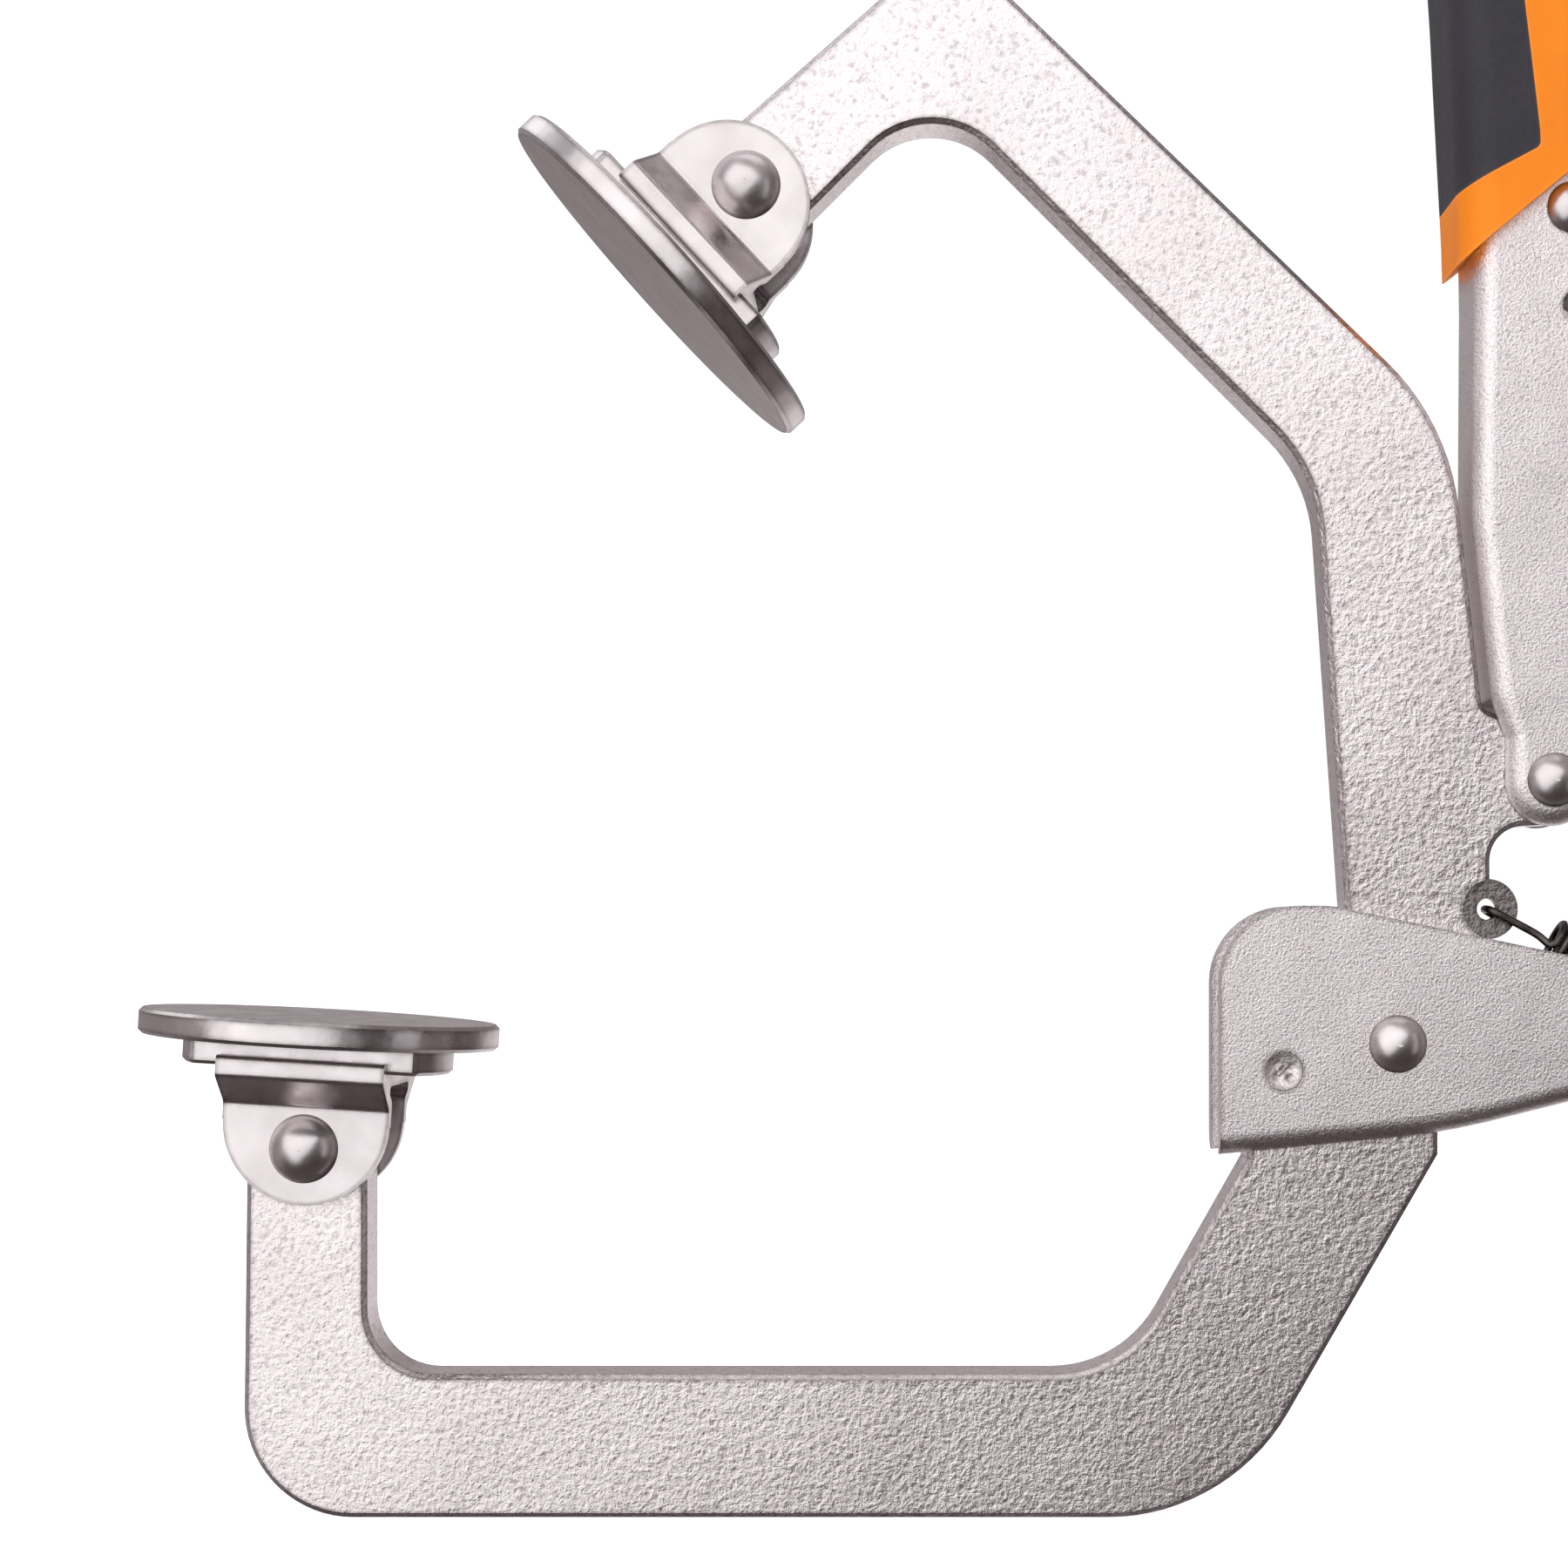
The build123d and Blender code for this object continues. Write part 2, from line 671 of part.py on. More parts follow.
def swivel_pad(name, pin, angle, disc_radius):
    """Five pieces of one pad, whose face looks toward angle."""
    look = aim(angle)
    back = tuple(-part for part in look)
    face = Vector(spot(pin)) + Vector(look) * pad_height

    def level(height):
        """Plane parallel to the clamping face, a height behind it."""
        return Plane(origin=face + Vector(back) * height, x_dir=(0, 1, 0), z_dir=back)

    plate_top = disc_thickness + plate_thickness
    with BuildPart() as disc:
        with BuildSketch(level(0)):
            Circle(disc_radius)
        extrude(amount=disc_thickness)
        chamfer(disc.edges(), edge_break)
        with BuildSketch(level(disc_thickness - stud_depth)):
            Circle(stud_radius + fit_gap)
        extrude(amount=disc_thickness, mode=Mode.SUBTRACT)
    finish(disc, name + "_pad_disc")

    with BuildPart() as backing:
        with BuildSketch(level(disc_thickness)):
            Circle(plate_radius)
            Rectangle(2 * plate_half, 2 * plate_radius, mode=Mode.INTERSECT)
        extrude(amount=plate_thickness)
        chamfer(backing.edges(), edge_break)
        with BuildSketch(level(0)):
            Circle(stud_radius + fit_gap)
        extrude(amount=pad_height, mode=Mode.SUBTRACT)
    finish(backing, name + "_pad_backing_plate")

    outer = [
        (bracket_base_half - bracket_sheet, plate_top, 0),
        (bracket_base_half - bracket_sheet, bracket_rim, 0.4),
        (bracket_base_half, bracket_rim, 0.6),
        (bracket_base_half, bracket_shoulder, 0.9),
        (ear_inner_half + bracket_sheet, bracket_ear_start, 0.9),
        (ear_inner_half + bracket_sheet, ear_centre + ear_radius, 0),
    ]
    inner = [
        (ear_inner_half, ear_centre + ear_radius, 0),
        (ear_inner_half, bracket_ear_start - 0.9, 0.7),
        (bracket_hollow_half, plate_top + bracket_sheet, 0.6),
    ]
    half_outline = outer + inner
    outline = half_outline + [(-y, z, radius) for y, z, radius in reversed(half_outline)]
    across = Plane(origin=face, x_dir=(0, 1, 0), z_dir=Vector((0, 1, 0)).cross(Vector(back)))
    with BuildPart() as bracket:
        with BuildSketch(across):
            with BuildLine():
                FilletPolyline(*points(outline), radius=radii(outline), close=True)
            make_face()
        extrude(amount=bracket_length, both=True)
        along = Plane(origin=face, x_dir=Vector((0, 1, 0)).cross(Vector(back)), z_dir=(0, -1, 0))
        with BuildSketch(along):
            with Locations((0, ear_centre / 2)):
                Rectangle(2 * bracket_length, ear_centre)
            with Locations((0, ear_centre)):
                Circle(ear_radius)
        extrude(amount=far, both=True, mode=Mode.INTERSECT)
        with BuildSketch(along):
            with Locations((0, pad_height)):
                Circle(pad_rivet[0] + fit_gap)
        extrude(amount=far, both=True, mode=Mode.SUBTRACT)
        with BuildSketch(level(0)):
            Circle(stud_radius + fit_gap)
        extrude(amount=pad_height - bracket_sheet, mode=Mode.SUBTRACT)
    finish(bracket, name + "_pad_bracket")

    with BuildPart() as stud:
        with BuildSketch(level(disc_thickness - stud_depth)):
            Circle(stud_radius)
        extrude(amount=stud_depth + plate_thickness + bracket_sheet)
        with BuildSketch(level(plate_top + bracket_sheet)):
            Circle(stud_head_radius)
        extrude(amount=stud_head_height)
    finish(stud, name + "_pad_stud")

    rivet = domed_rivet(pin, pad_rivet, ear_inner_half + bracket_sheet)
    finish(rivet, name + "_pad_rivet")


swivel_pad("fixed", fixed_pin, fixed_pad_angle, fixed_disc_radius)
swivel_pad("moving", moving_pin, moving_pad_angle, moving_disc_radius)
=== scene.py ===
import json
import math

import bmesh
import bpy
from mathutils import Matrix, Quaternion, Vector


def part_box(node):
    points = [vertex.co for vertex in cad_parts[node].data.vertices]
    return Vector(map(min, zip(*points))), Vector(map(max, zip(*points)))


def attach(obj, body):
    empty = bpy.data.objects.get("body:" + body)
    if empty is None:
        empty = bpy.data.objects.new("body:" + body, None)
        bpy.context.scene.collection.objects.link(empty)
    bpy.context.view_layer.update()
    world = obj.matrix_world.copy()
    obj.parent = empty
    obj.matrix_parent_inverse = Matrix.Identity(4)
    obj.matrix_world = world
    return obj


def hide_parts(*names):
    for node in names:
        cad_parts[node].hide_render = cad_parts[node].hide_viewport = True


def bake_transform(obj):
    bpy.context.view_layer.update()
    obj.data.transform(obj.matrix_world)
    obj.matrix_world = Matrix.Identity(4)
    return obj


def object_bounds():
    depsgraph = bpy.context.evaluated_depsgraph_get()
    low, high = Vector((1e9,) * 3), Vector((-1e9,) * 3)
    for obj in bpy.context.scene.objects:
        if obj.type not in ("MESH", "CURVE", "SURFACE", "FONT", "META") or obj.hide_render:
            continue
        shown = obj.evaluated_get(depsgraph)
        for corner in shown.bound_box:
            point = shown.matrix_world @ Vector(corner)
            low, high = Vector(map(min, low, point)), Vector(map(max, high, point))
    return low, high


# Locking C clamp, jaws open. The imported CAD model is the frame; the pieces built here ride on its bodies.
# Row frame: metres, +X from the pads to the handles, +Z up. Lengths below are in millimetres where a name
# ends in _mm, and in metres elsewhere.

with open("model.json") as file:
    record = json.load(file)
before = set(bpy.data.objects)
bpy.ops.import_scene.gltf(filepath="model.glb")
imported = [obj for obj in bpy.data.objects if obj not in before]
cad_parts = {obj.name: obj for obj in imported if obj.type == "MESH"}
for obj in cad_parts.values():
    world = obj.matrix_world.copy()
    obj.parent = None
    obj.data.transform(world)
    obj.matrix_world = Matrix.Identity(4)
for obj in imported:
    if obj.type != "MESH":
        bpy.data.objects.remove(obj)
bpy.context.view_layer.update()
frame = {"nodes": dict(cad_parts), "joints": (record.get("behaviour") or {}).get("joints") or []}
nodes = frame["nodes"]
joints = {joint["name"]: joint for joint in frame["joints"]}
scene = bpy.context.scene

MM = 0.001
pivot = Vector(joints["jaw_hinge"]["pos_m"])


# --- mesh helpers ----------------------------------------------------------------------------

def mesh_object(name, verts, faces, smooth_angle=35):
    """A new object from points and faces in the row frame, smooth except over sharp edges."""
    mesh = bpy.data.meshes.new(name)
    mesh.from_pydata([tuple(v) for v in verts], [], faces)
    mesh.validate()
    made = bpy.data.objects.new(name, mesh)
    scene.collection.objects.link(made)
    shade(made, smooth_angle)
    return made


def shade(made, smooth_angle):
    """Outward normals, and smooth shading up to an angle."""
    work = bmesh.new()
    work.from_mesh(made.data)
    bmesh.ops.remove_doubles(work, verts=work.verts, dist=1e-7)
    bmesh.ops.recalc_face_normals(work, faces=work.faces)
    for face in work.faces:
        face.smooth = True
    limit = math.radians(smooth_angle)
    for edge in work.edges:
        edge.smooth = len(edge.link_faces) == 2 and edge.calc_face_angle(0) < limit
    work.to_mesh(made.data)
    work.free()


def grid_faces(rows, columns, closed_rows=False):
    """Quads over a grid whose columns close on themselves."""
    faces = []
    for i in range(rows if closed_rows else rows - 1):
        below = (i + 1) % rows
        for j in range(columns):
            right = (j + 1) % columns
            faces.append((i * columns + j, i * columns + right, below * columns + right, below * columns + j))
    return faces


def tube(name, path, radius, sides):
    """A round wire along a list of points, with rounded ends."""
    tangents = []
    for i in range(len(path)):
        tangents.append((path[min(i + 1, len(path) - 1)] - path[max(i - 1, 0)]).normalized())
    normal = tangents[0].orthogonal().normalized()
    verts = []
    for i, (point, tangent) in enumerate(zip(path, tangents)):
        normal = (normal - tangent * normal.dot(tangent)).normalized()
        across = tangent.cross(normal)
        for k in range(sides):
            turn = 2 * math.pi * k / sides
            verts.append(point + (normal * math.cos(turn) + across * math.sin(turn)) * radius)
    faces = grid_faces(len(path), sides)
    for start, out in ((0, -1), (len(path) - 1, 1)):
        first = start * sides
        tip = path[start] + tangents[start] * out * radius * 0.6
        verts.append(tip)
        faces += [(first + k, first + (k + 1) % sides, len(verts) - 1) for k in range(sides)]
    return mesh_object(name, verts, faces, 60)


def smooth_path(points, steps):
    """A Catmull-Rom line through points."""
    line = []
    padded = [points[0] * 2 - points[1]] + points + [points[-1] * 2 - points[-2]]
    for a, b, c, d in zip(padded, padded[1:], padded[2:], padded[3:]):
        for k in range(steps):
            t = k / steps
            line.append(0.5 * (2 * b + (c - a) * t + (2 * a - 5 * b + 4 * c - d) * t**2
                               + (3 * b - a - 3 * c + d) * t**3))
    return line + [points[-1]]


def turned(name, origin, axis, profile, sides, swell=None, closed=False, smooth_angle=35):
    """A turned form: profile is (distance along the axis, radius); swell adds to the radius."""
    axis = axis.normalized()
    first = Vector((0, 1, 0)) - axis * axis.y
    first = first.normalized() if first.length > 0.1 else Vector((1, 0, 0))
    second = axis.cross(first)
    verts = []
    for along, radius in profile:
        for k in range(sides):
            turn = 2 * math.pi * k / sides
            r = radius + (swell(along, turn, radius) if swell else 0.0)
            verts.append(origin + axis * along + (first * math.cos(turn) + second * math.sin(turn)) * r)
    faces = grid_faces(len(profile), sides, closed)
    if not closed:
        for row in (0, len(profile) - 1):
            faces.append(tuple(row * sides + k for k in range(sides)))
    return mesh_object(name, verts, faces, smooth_angle)


def reach(name, origin, axis):
    """Lowest and highest distance of a CAD node along an axis."""
    along = [(vertex.co - origin).dot(axis) for vertex in nodes[name].data.vertices]
    return min(along), max(along)


# --- return spring: one wire, close-wound, with a loop at the pin and a hook in the tab --------
pin_low, pin_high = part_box("spring_anchor_pin")
anchor = (pin_low + pin_high) / 2
hole = Vector(joints["spring_hook_turn"]["pos_m"])
spring_axis = (hole - anchor).normalized()
spring_up = Vector((-spring_axis.z, 0, spring_axis.x))
spring_length = (hole - anchor).length / MM


def in_spring(along, sideways, up):
    """Row point of a place in the spring, in mm from the anchor pin."""
    return anchor + (spring_axis * along + Vector((0, 1, 0)) * sideways + spring_up * up) * MM


wire_mm = 0.45
loop_mm = 2.5
wind_mm = 2.65
wind_start, wind_end = 4.95, 24.35
turns = 19.75
steps_per_turn = 18
loop_steps = 14
loop_sweep = 320
loop_sideways = 0.55
hook_half = 1.9                 # half width of the hook, across the tab
rear = []
for k in range(loop_steps + 1):
    left = 1 - k / loop_steps
    turn = math.radians(90 + loop_sweep * left)
    rear.append(in_spring(loop_mm * math.cos(turn), loop_sideways * left, loop_mm * math.sin(turn)))
rear += [in_spring(1.6, 0, 2.52), in_spring(3.3, 0.02, 2.6), in_spring(4.4, 0.35, 2.66)]
wound = []
steps = int(turns * steps_per_turn)
for k in range(3, steps + 1):
    turn = 2 * math.pi * turns * k / steps
    along = wind_start + (wind_end - wind_start) * k / steps
    wound.append(in_spring(along, wind_mm * math.sin(turn), wind_mm * math.cos(turn)))
front = [
    in_spring(24.9, -2.5, 0.55),
    in_spring(25.7, -2.1, 0.3),
    in_spring(27.0, -hook_half, 0.05),
    in_spring(spring_length - 2.4, -hook_half, 0),
    in_spring(spring_length - 1.1, -1.88, 0),
    in_spring(spring_length - 0.3, -1.5, 0),
    in_spring(spring_length, -0.7, 0),
    in_spring(spring_length, 0.7, 0),
    in_spring(spring_length - 0.3, 1.5, 0),
    in_spring(spring_length - 1.1, 1.88, 0),
    in_spring(spring_length - 2.4, hook_half, 0),
    in_spring(spring_length - 3.4, hook_half, 0),
]
spring = tube("return_spring", smooth_path(rear, 3)[:-1] + wound + smooth_path(front, 4), wire_mm * MM, 10)
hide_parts("return_spring_hook", "return_spring_coil")
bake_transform(spring)


# --- adjusting screw: rolled thread, turned neck, knurled head ---------------------------------
screw_axis = Vector(joints["screw_turn"]["axis"]).normalized()
screw_spot = Vector(joints["screw_turn"]["pos_m"])
tip, neck_end = reach("adjusting_screw_shank", screw_spot, screw_axis)
head_start, head_end = reach("adjusting_screw_knob", screw_spot, screw_axis)
pitch = 1.5 * MM
major = 4.95 * MM
depth = 0.75 * MM
shoulder = head_start - 0.1 * MM
run_out = shoulder - 3.0 * MM


def thread(along, turn, radius):
    """How far the thread's flank is cut below the shank's surface."""
    if radius < major * 0.9:
        return 0.0
    phase = (along / pitch + turn / (2 * math.pi)) % 1.0
    ramp = min(1.0, max(0.0, abs(phase - 0.5) * 4 - 0.5))
    fade = min(1.0, max(0.0, (run_out - along) / (1.5 * MM)))
    return -depth * (1 - ramp) * fade


shank_profile = [(tip, 1.6 * MM), (tip, 3.3 * MM), (tip + 1.5 * MM, major)]
thread_rows = int((shoulder - 0.3 * MM - tip - 1.5 * MM) / (pitch / 8))
for k in range(1, thread_rows + 1):
    shank_profile.append((tip + 1.5 * MM + k * pitch / 8, major))
shank_profile += [(shoulder, major - 0.3 * MM), (shoulder, 3.0 * MM), (neck_end, 3.0 * MM)]
shank = turned("screw_shank_threaded", screw_spot, screw_axis, shank_profile, 40, thread, smooth_angle=50)
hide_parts("adjusting_screw_shank")
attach(shank, "screw_shank")

head_radius = 8.0 * MM
knurl_depth = 0.38 * MM
knurl_count = 44
knurl_start = head_start + 1.3 * MM
knurl_end = head_end - 2.4 * MM
lead = 2 * math.pi * head_radius / knurl_count


def knurl(along, turn, radius):
    """Crossed grooves of a diamond knurl."""
    if radius < head_radius * 0.99 or not knurl_start < along < knurl_end:
        return 0.0
    left = (turn * knurl_count / (2 * math.pi) + (along - knurl_start) / lead) % 1.0
    right = (turn * knurl_count / (2 * math.pi) - (along - knurl_start) / lead) % 1.0
    crest = min(1 - abs(2 * left - 1), 1 - abs(2 * right - 1))
    return knurl_depth * (min(1.0, crest * 1.7) - 1.0)


bore = 3.05 * MM
blind = neck_end + 0.1 * MM
head_profile = [(blind, 0.02 * MM), (blind, bore), (head_start, bore), (head_start, head_radius - 0.8 * MM),
                (head_start + 0.25 * MM, head_radius - 0.25 * MM), (head_start + 0.8 * MM, head_radius)]
knurl_rows = 34
for k in range(knurl_rows + 1):
    head_profile.append((knurl_start + (knurl_end - knurl_start) * k / knurl_rows, head_radius))
head_profile += [
    (knurl_end + 0.3 * MM, head_radius),
    (head_end - 1.7 * MM, head_radius - 0.05 * MM),
    (head_end - 0.9 * MM, head_radius - 0.35 * MM),
    (head_end - 0.3 * MM, head_radius - 0.95 * MM),
    (head_end, head_radius - 1.9 * MM),
    (head_end, head_radius - 3.0 * MM),
    (head_end - 0.5 * MM, head_radius - 3.6 * MM),
    (head_end - 0.7 * MM, head_radius - 5.5 * MM),
    (head_end - 0.7 * MM, 0.02 * MM),
]
head = turned("screw_head_knurled", screw_spot, screw_axis, head_profile, knurl_count * 4, knurl,
              smooth_angle=40)
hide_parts("adjusting_screw_knob")
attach(head, "screw_knob")


# --- stake: the punched crater that locks the lower arm in the handle --------------------------
stake_low, stake_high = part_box("fixed_jaw_stake_pin")
stake_centre = (stake_low + stake_high) / 2
stake_radius = (stake_high.x - stake_low.x) / 2
stake_half = (stake_high.y - stake_low.y) / 2
pits = [(0.95, 0.55), (-0.8, 0.75), (0.75, -0.85), (-0.7, -0.7), (0.05, 0.05)]
bowl_mm, pit_mm, ridge_mm = 0.38, 0.34, 0.16


def crater(across, up):
    """Depth of the punched face below its rim, in mm, at a place in mm from the middle."""
    share = math.hypot(across, up) / (stake_radius / MM)
    low = bowl_mm * (1 - share**2)
    for x, z in pits:
        low += pit_mm * math.exp(-((across - x) ** 2 + (up - z) ** 2) / 0.16)
    ridge = math.exp(-(across - up) ** 2 / 0.05) + math.exp(-(across + up) ** 2 / 0.05)
    return max(0.0, low - ridge_mm * ridge * (1 - share))


rings, sides = 14, 48
verts, faces = [], []
for side in (-1, 1):
    base = len(verts)
    for i in range(rings + 1):
        share = max(0.001, i / rings)
        for k in range(sides):
            turn = 2 * math.pi * k / sides
            across = share * stake_radius * math.cos(turn)
            up = share * stake_radius * math.sin(turn)
            level = stake_half - crater(across / MM, up / MM) * MM * min(1.0, (1 - share) * 4)
            verts.append(stake_centre + Vector((across, side * level, up)))
    faces += [tuple(base + index for index in face) for face in grid_faces(rings + 1, sides)]
    faces.append(tuple(base + k for k in range(sides)))
rim = rings * sides
far_side = (rings + 1) * sides
faces += [(rim + k, rim + (k + 1) % sides, far_side + rim + (k + 1) % sides, far_side + rim + k)
          for k in range(sides)]
stake = mesh_object("stake_mark", verts, faces, 45)
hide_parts("fixed_jaw_stake_pin")
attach(stake, "frame")


# --- shader helpers --------------------------------------------------------------------------

class Shader:
    """A small writer of node materials."""

    def __init__(self, name):
        self.material = bpy.data.materials.new(name)
        self.material.use_nodes = True
        self.tree = self.material.node_tree
        self.bsdf = self.tree.nodes["Principled BSDF"]
        self.place = self.tree.nodes.new("ShaderNodeTexCoord").outputs["Object"]

    def node(self, kind, sockets, **settings):
        made = self.tree.nodes.new(kind)
        for key, value in settings.items():
            setattr(made, key, value)
        for key, value in sockets.items():
            self.feed(made.inputs[key], value)
        return made

    def feed(self, socket, value):
        if isinstance(value, bpy.types.NodeSocket):
            self.tree.links.new(value, socket)
        else:
            socket.default_value = value

    def noise(self, scale, detail=3.0, rough=0.55, stretch=(1, 1, 1)):
        place = self.node("ShaderNodeMapping", {"Vector": self.place, "Scale": stretch}).outputs["Vector"]
        return self.node("ShaderNodeTexNoise", {"Vector": place, "Scale": scale, "Detail": detail,
                                                "Roughness": rough}).outputs["Fac"]

    def cells(self, scale, smoothness=0.6):
        return self.node("ShaderNodeTexVoronoi", {"Vector": self.place, "Scale": scale,
                                                  "Smoothness": smoothness},
                         feature="SMOOTH_F1").outputs["Distance"]

    def span(self, value, low, high, to_low, to_high):
        return self.node("ShaderNodeMapRange", {"Value": value, "From Min": low, "From Max": high,
                                                "To Min": to_low, "To Max": to_high}).outputs["Result"]

    def math(self, operation, a, b):
        return self.node("ShaderNodeMath", {0: a, 1: b}, operation=operation).outputs["Value"]

    def blend(self, share, first, second):
        made = self.node("ShaderNodeMix", {}, data_type="RGBA")
        self.feed(made.inputs["Factor"], share)
        for key, value in (("A", first), ("B", second)):
            socket = [s for s in made.inputs if s.name == key and s.type == "RGBA"][0]
            self.feed(socket, value if isinstance(value, bpy.types.NodeSocket) else (*value, 1))
        return [s for s in made.outputs if s.type == "RGBA"][0]

    def bump(self, height, distance, strength=1.0, under=None):
        sockets = {"Height": height, "Distance": distance, "Strength": strength}
        if under is not None:
            sockets["Normal"] = under
        return self.node("ShaderNodeBump", sockets).outputs["Normal"]

    def edges(self, radius):
        """0 on flat ground, rising to 1 at edges and in corners within radius."""
        rounded = self.node("ShaderNodeBevel", {"Radius": radius}, samples=4).outputs["Normal"]
        plain = self.tree.nodes.new("ShaderNodeNewGeometry").outputs["Normal"]
        level = self.node("ShaderNodeVectorMath", {0: rounded, 1: plain}, operation="DOT_PRODUCT")
        return self.span(level.outputs["Value"], 1.0, 0.93, 0.0, 1.0)

    def finish(self, colour, roughness, normal, **constants):
        self.feed(self.bsdf.inputs["Base Color"], colour)
        self.feed(self.bsdf.inputs["Roughness"], roughness)
        self.feed(self.bsdf.inputs["Normal"], normal)
        for key, value in constants.items():
            self.bsdf.inputs[key.replace("_", " ")].default_value = value
        return self.material


# Paler and duller patches of each finish, the painted shade in its pits, the colour of oil, and the painted
# shade along its edges and in its corners.
PLATE_TONES = ((0.88, 0.825, 0.835), (0.82, 0.765, 0.775))
SHEET_TONES = ((0.96, 0.905, 0.915), (0.91, 0.855, 0.865))
BRIGHT_TONES = ((0.76, 0.715, 0.725), (0.66, 0.615, 0.625))
PIT_SHADE = (0.42, 0.37, 0.38)
OIL = (0.15, 0.125, 0.12)
PLATE_EDGE_SHADE = (0.16, 0.135, 0.135)
BRIGHT_EDGE_SHADE = (0.14, 0.115, 0.11)


def satin_nickel(name, grain, relief, pit_shading, dents=0.0, oily_spot=None, tones=PLATE_TONES):
    """Nickel plate over blasted steel: a pebbled skin with painted shade in its pits, and patchy painted
    shade along its edges and in its corners.
    """
    s = Shader(name)
    rounding = s.span(s.cells(grain * 0.8), 0.0, 0.7, 0.75, 1.25)
    pebbles = s.math("MULTIPLY", s.noise(grain, 3.0, 0.65), rounding)
    fine = s.noise(grain * 2.1, 2.0, 0.6)
    broad = s.noise(55, 2.0, 0.5)
    normal = s.bump(broad, 0.0003)
    if dents:
        normal = s.bump(s.noise(150, 1.0, 0.4), dents, under=normal)
    normal = s.bump(pebbles, relief, under=normal)
    normal = s.bump(fine, relief * 0.5, under=normal)
    tone = s.blend(s.span(broad, 0.35, 0.65, 0, 1), *tones)
    # Painted shade: the low pits of the pebbled skin are darkened.
    tone = s.blend(s.span(pebbles, 0.33, 0.50, pit_shading, 0.0), tone, PIT_SHADE)
    if oily_spot:
        away = s.node("ShaderNodeVectorMath", {0: s.place, 1: oily_spot}, operation="DISTANCE")
        tone = s.blend(s.span(away.outputs["Value"], 3.6 * MM, 5.2 * MM, 0.8, 0.0), tone, OIL)
    # Painted shade: edges and corners are darkened in a patchy band, in place of dark grazing reflections and
    # the shade in corners.
    edge_shade = s.math("MULTIPLY", s.edges(0.0008), s.span(s.noise(900, 3.0), 0.3, 0.6, 0.6, 1.0))
    tone = s.blend(s.math("MULTIPLY", edge_shade, 0.85), tone, PLATE_EDGE_SHADE)
    rough = s.span(fine, 0.3, 0.7, 0.25, 0.38)
    return s.finish(tone, rough, normal, Metallic=1.0)


def bright_nickel(name, rough_low, rough_high, streak):
    """Smooth plate with drawn streaks and a few dull patches."""
    s = Shader(name)
    fine = s.noise(900, 3.0, 0.6, streak)
    broad = s.noise(140, 2.0, 0.5)
    normal = s.bump(broad, 0.0002)
    normal = s.bump(fine, 0.000016, under=normal)
    tone = s.blend(s.span(broad, 0.35, 0.65, 0, 1), *BRIGHT_TONES)
    # Painted shade: edges and corners are darkened in a patchy band, in place of dark grazing reflections and
    # the shade in corners.
    edge_shade = s.math("MULTIPLY", s.edges(0.0009), s.span(s.noise(700, 3.0), 0.3, 0.6, 0.6, 1.0))
    tone = s.blend(s.math("MULTIPLY", edge_shade, 0.85), tone, BRIGHT_EDGE_SHADE)
    rough = s.span(s.noise(420, 3.0, 0.6, streak), 0.3, 0.7, rough_low, rough_high)
    return s.finish(tone, rough, normal, Metallic=1.0)


def turned_steel(name, colour, dark, low, high):
    """Turned or drawn steel with oily darker patches, paler along edges and in corners."""
    s = Shader(name)
    fine = s.noise(1600, 3.0, 0.6)
    broad = s.noise(260, 3.0, 0.6)
    normal = s.bump(fine, 0.00002)
    tone = s.blend(s.span(broad, 0.35, 0.65, 0, 1), colour, dark)
    tone = s.blend(s.math("MULTIPLY", s.edges(0.00025), 0.5), tone, colour)
    return s.finish(tone, s.span(fine, 0.3, 0.7, low, high), normal, Metallic=1.0)


def moulded(name, colour, shade_colour, grain, relief, low, high, **constants):
    """Moulded plastic or rubber: fine texture, slight mottling, paler rubbed edges."""
    s = Shader(name)
    fine = s.noise(grain, 2.0, 0.5)
    broad = s.noise(90, 3.0, 0.5)
    normal = s.bump(broad, 0.00025)
    normal = s.bump(fine, relief, under=normal)
    tone = s.blend(s.span(broad, 0.3, 0.7, 0, 1), colour, shade_colour)
    rubbed = tuple(min(1.0, part * 1.25 + 0.02) for part in colour)
    tone = s.blend(s.math("MULTIPLY", s.edges(0.0006), 0.45), tone, rubbed)
    return s.finish(tone, s.span(fine, 0.3, 0.7, low, high), normal, **constants)


plate_grain, plate_relief, plate_pit_shading = 1350, 0.00012, 0.60
plate = satin_nickel("satin_nickel_plate", plate_grain, plate_relief, plate_pit_shading)
hooked_plate = satin_nickel("satin_nickel_hooked", plate_grain, plate_relief, plate_pit_shading, oily_spot=hole)
folded = satin_nickel("satin_nickel_sheet", 3400, 0.00009, 0.60, 0.00014, tones=SHEET_TONES)
pad_metal = bright_nickel("bright_nickel_pad", 0.22, 0.38, (1, 0.25, 1))
rivet_metal = bright_nickel("bright_nickel_rivet", 0.28, 0.36, (1, 1, 1))
disc_metal = bright_nickel("bright_nickel_disc", 0.22, 0.36, (1, 0.3, 1))
screw_metal = turned_steel("screw_steel", (0.62, 0.59, 0.59), (0.34, 0.31, 0.31), 0.26, 0.42)
spring_metal = turned_steel("spring_steel", (0.13, 0.115, 0.11), (0.045, 0.038, 0.036), 0.28, 0.45)
orange = moulded("grip_orange", (0.77, 0.215, 0.004), (0.69, 0.175, 0.003), 2600, 0.00002, 0.46, 0.60,
                 Specular_IOR_Level=0.28)
dark_inlay = moulded("grip_inlay", (0.026, 0.024, 0.033), (0.020, 0.019, 0.026), 2200, 0.00003, 0.5, 0.66,
                     Specular_IOR_Level=0.4)

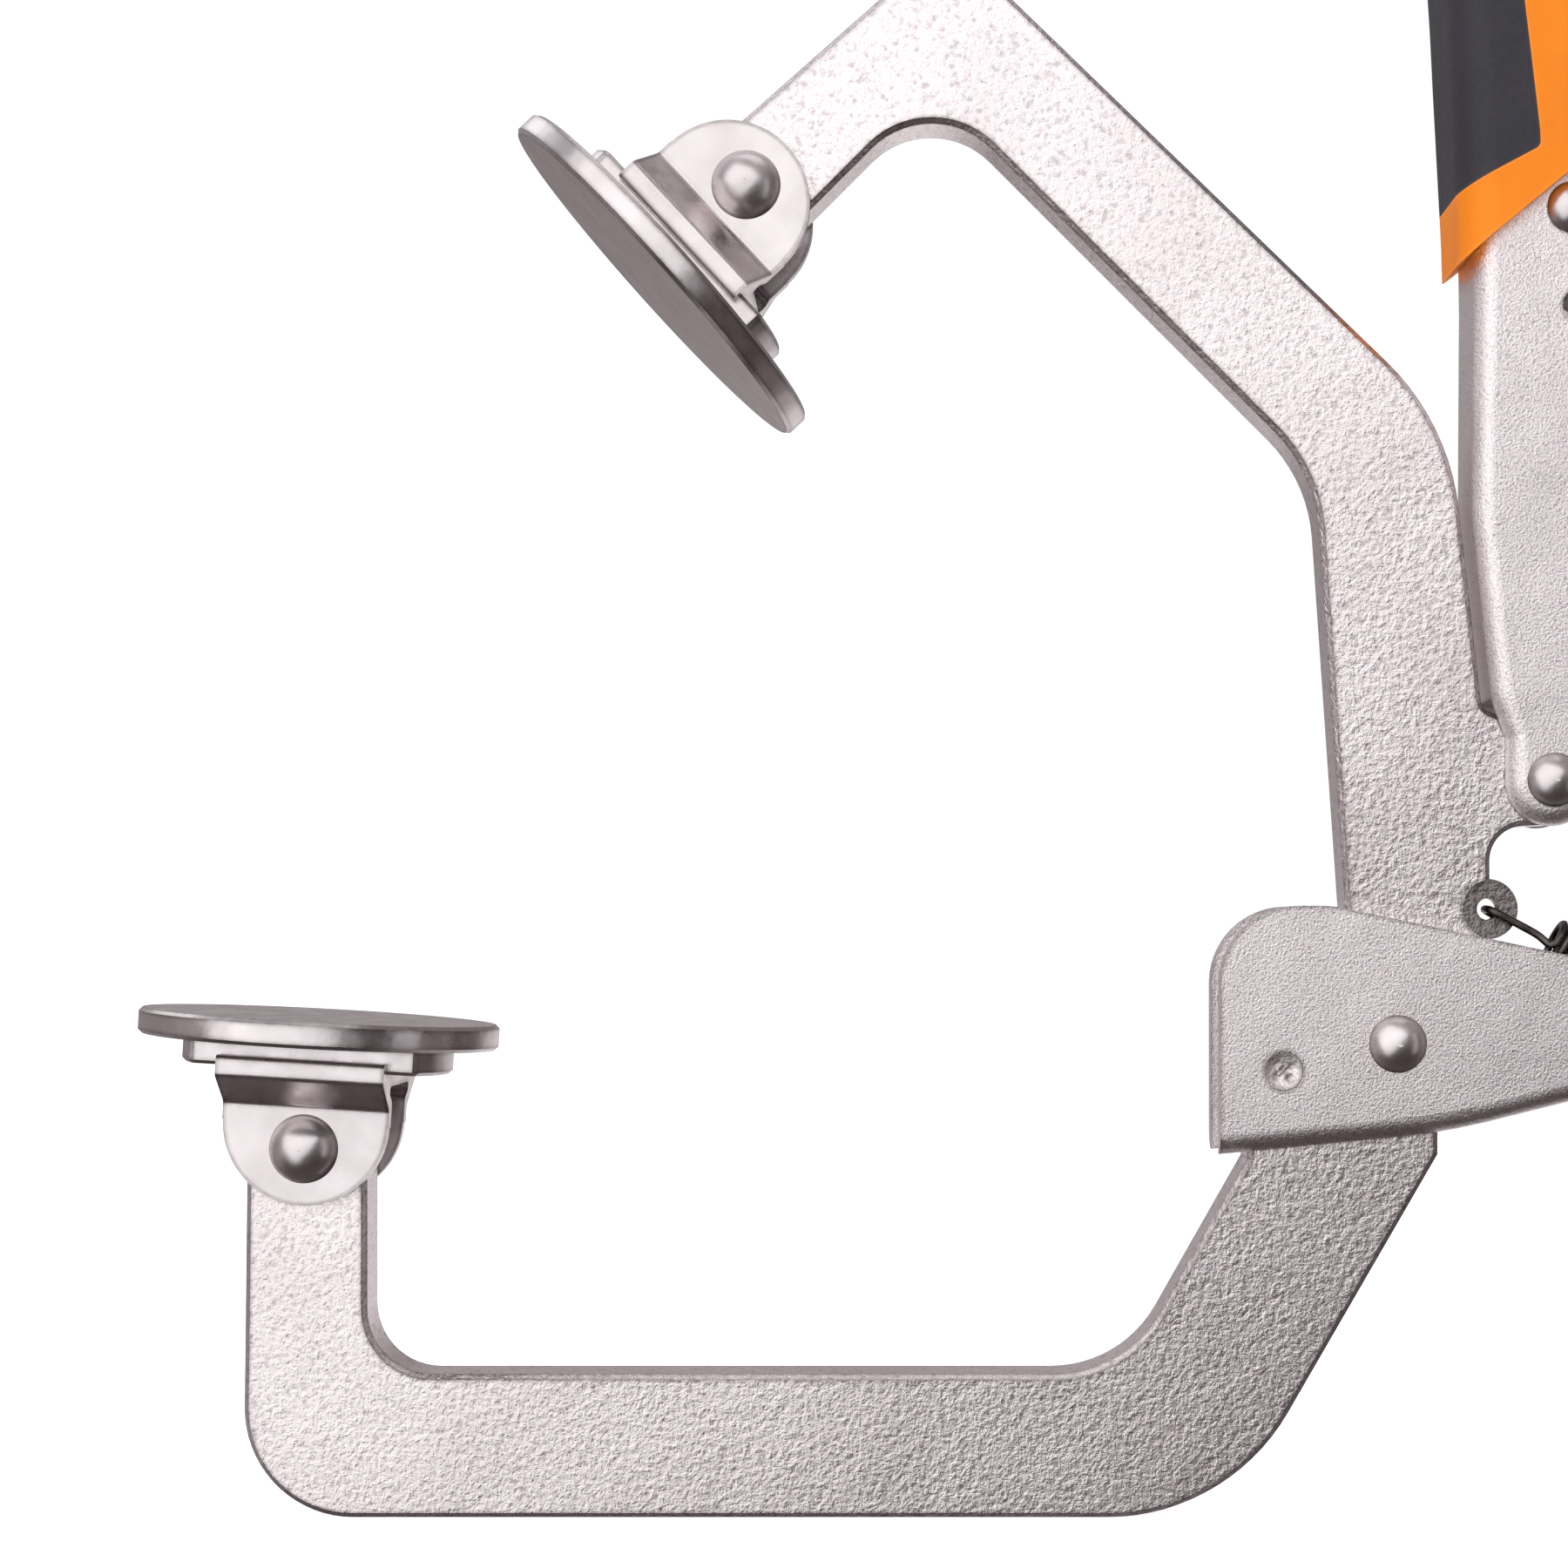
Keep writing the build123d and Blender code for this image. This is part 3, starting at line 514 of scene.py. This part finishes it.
finishes = {
    "fixed_jaw": plate, "moving_jaw": hooked_plate, "toggle_link": plate, "release_lever": plate,
    "fixed_handle": folded, "lever": folded,
    "handle_grip": orange, "lever_grip": orange,
    "handle_grip_inlay": dark_inlay, "lever_grip_inlay": dark_inlay,
}
for name, cad in nodes.items():
    if name.endswith("_disc"):
        finish = disc_metal
    elif name.endswith("_rivet") or name.endswith("_stud") or name == "spring_anchor_pin":
        finish = rivet_metal
    elif "_pad_" in name:
        finish = pad_metal
    else:
        finish = finishes.get(name, plate)
    cad.data.materials.clear()
    cad.data.materials.append(finish)
spring.data.materials.append(spring_metal)
shank.data.materials.append(screw_metal)
head.data.materials.append(screw_metal)
stake.data.materials.append(folded)


# --- studio ------------------------------------------------------------------------------------
low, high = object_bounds()
centre = (low + high) / 2

floor_mesh = bpy.data.meshes.new("floor")
reach_out = 14.0
floor_mesh.from_pydata([(centre.x + x * reach_out, y * reach_out, low.z) for x, y in
                        ((-1, -1), (1, -1), (1, 1), (-1, 1))], [], [(0, 1, 2, 3)])
floor = bpy.data.objects.new("floor", floor_mesh)
scene.collection.objects.link(floor)
pale = Shader("floor_pale")
pale.finish(pale.blend(pale.noise(2.0), (0.90, 0.90, 0.90), (0.93, 0.93, 0.93)), 0.9,
            pale.bump(pale.noise(300), 0.0001))
pale.bsdf.inputs["Emission Color"].default_value = (1, 1, 1, 1)
pale.bsdf.inputs["Emission Strength"].default_value = 0.85
floor_mesh.materials.append(pale.material)
floor.visible_glossy = False

# The room as the metal sees it: dim and slightly pink, paler above and in a patch low behind the clamp.
# The camera itself sees plain white.
world = bpy.data.worlds.new("studio")
scene.world = world
world.use_nodes = True
tree = world.node_tree
tree.nodes.clear()
direction = tree.nodes.new("ShaderNodeTexCoord").outputs["Generated"]


def walls(toward, stops):
    """A colour ramp over how far a direction leans toward a point of the studio, from -1 to 1."""
    lean = tree.nodes.new("ShaderNodeVectorMath")
    lean.operation = "DOT_PRODUCT"
    tree.links.new(direction, lean.inputs[0])
    lean.inputs[1].default_value = Vector(toward).normalized()
    spread = tree.nodes.new("ShaderNodeMapRange")
    spread.inputs["From Min"].default_value = -1
    tree.links.new(lean.outputs["Value"], spread.inputs["Value"])
    ramp = tree.nodes.new("ShaderNodeValToRGB")
    tree.links.new(spread.outputs["Result"], ramp.inputs["Fac"])
    elements = ramp.color_ramp.elements
    elements[0].position, elements[0].color = stops[0][0], (*stops[0][1], 1)
    elements[1].position, elements[1].color = stops[-1][0], (*stops[-1][1], 1)
    for position, colour in stops[1:-1]:
        elements.new(position).color = (*colour, 1)
    return ramp.outputs["Color"]


sides_of_room = walls((-0.45, 0.35, 0.82), [(0.0, (0.070, 0.054, 0.056)), (0.38, (0.11, 0.088, 0.090)),
                                            (0.58, (0.38, 0.345, 0.35)), (0.78, (0.27, 0.235, 0.24)),
                                            (1.0, (0.60, 0.58, 0.59))])
low_behind = walls((0.20, 0.86, -0.47), [(0.0, (0, 0, 0)), (0.88, (0, 0, 0)), (0.95, (0.42, 0.40, 0.40)),
                                         (1.0, (0.80, 0.78, 0.78))])
seen = tree.nodes.new("ShaderNodeBackground")
seen.inputs["Color"].default_value = (1, 1, 1, 1)
seen.inputs["Strength"].default_value = 1.05
lit = tree.nodes.new("ShaderNodeBackground")
tree.links.new(sides_of_room, lit.inputs["Color"])
bounce = tree.nodes.new("ShaderNodeBackground")
tree.links.new(low_behind, bounce.inputs["Color"])
room = tree.nodes.new("ShaderNodeAddShader")
tree.links.new(lit.outputs["Background"], room.inputs[0])
tree.links.new(bounce.outputs["Background"], room.inputs[1])
choose = tree.nodes.new("ShaderNodeMixShader")
tree.links.new(tree.nodes.new("ShaderNodeLightPath").outputs["Is Camera Ray"], choose.inputs["Fac"])
tree.links.new(room.outputs["Shader"], choose.inputs[1])
tree.links.new(seen.outputs["Background"], choose.inputs[2])
tree.links.new(choose.outputs["Shader"], tree.nodes.new("ShaderNodeOutputWorld").inputs["Surface"])


def softbox(name, place, aim, roll, size, glow, tint=(1, 1, 1)):
    """An area light placed from the middle of the view and facing along aim; glow is its face's radiance."""
    light = bpy.data.lights.new(name, "AREA")
    light.shape = "RECTANGLE"
    light.size, light.size_y = size
    light.energy = glow * math.pi * size[0] * size[1]
    light.color = tint
    made = bpy.data.objects.new(name, light)
    made.location = middle + Vector(place)
    facing = Vector(aim).to_track_quat("-Z", "Y")
    made.rotation_euler = (facing @ Quaternion((0, 0, 1), math.radians(roll))).to_euler()
    made.visible_camera = False
    scene.collection.objects.link(made)


# The key light's lower right edge is what darkens the arms toward the lower right.
middle = pivot + Vector((-0.070, 0, 0.030))
softbox("key", (-0.49, -0.46, 0.49), (0, 1, 0), 45, (1.20, 1.62), 1.12)
softbox("top", (0.1, 0.15, 0.9), (-0.1, -0.15, -0.9), 0, (0.9, 0.5), 0.7)
softbox("right", (0.9, -0.4, 0.0), (-0.9, 0.4, 0), 0, (0.25, 0.9), 0.6)
softbox("back", (-0.9, 0.9, 1.0), (0.9, -0.9, -1.0), 0, (0.9, 0.8), 0.9)

camera = bpy.data.cameras.new("camera")
camera.sensor_width = 36
camera.lens = 63
camera.clip_start = 0.01
camera.clip_end = 60
camera.shift_x = -0.078
camera.shift_y = 0.093
eye = bpy.data.objects.new("camera", camera)
eye.location = (pivot.x - 0.056, -0.3187, pivot.z + 0.013)
eye.rotation_euler = (math.radians(90), 0, 0)
scene.collection.objects.link(eye)
scene.camera = eye
scene.view_settings.view_transform = "Standard"
